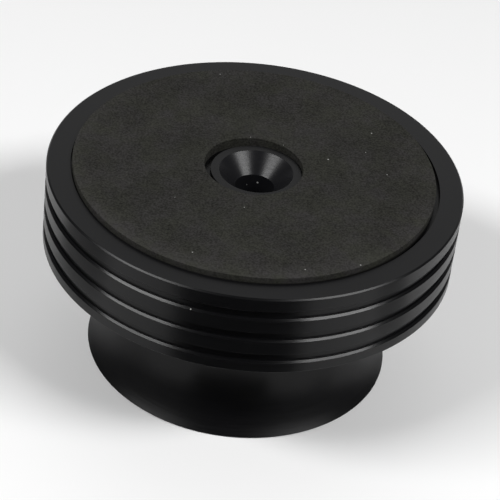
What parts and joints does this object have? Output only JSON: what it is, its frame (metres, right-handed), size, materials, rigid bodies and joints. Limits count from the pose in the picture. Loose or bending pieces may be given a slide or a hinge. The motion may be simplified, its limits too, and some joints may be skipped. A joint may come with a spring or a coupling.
{
  "type": "record weight clamp",
  "caption": "Round black record weight: grooved disc with a waisted grip, a foam-padded record side and a countersunk hole that drops over a turntable's spindle.",
  "frame": {"origin": "centre of the flat end of the grip, which the weight stands on with its pad up, as in the picture", "axes": "+Z along the turning axis, out of the pad and the spindle hole's mouth; in use the weight is turned over, so +Z then points down at the record"},
  "size_m": [0.08, 0.08, 0.0425],
  "materials": {
    "black_anodised": "fine-turned aluminium, anodised satin black",
    "pad_foam": "matt fine-celled foam sheet, charcoal with an olive cast"
  },
  "bodies": {
    "root": {"weight_body": "black_anodised", "foam_pad": "pad_foam"}
  },
  "joints": []
}
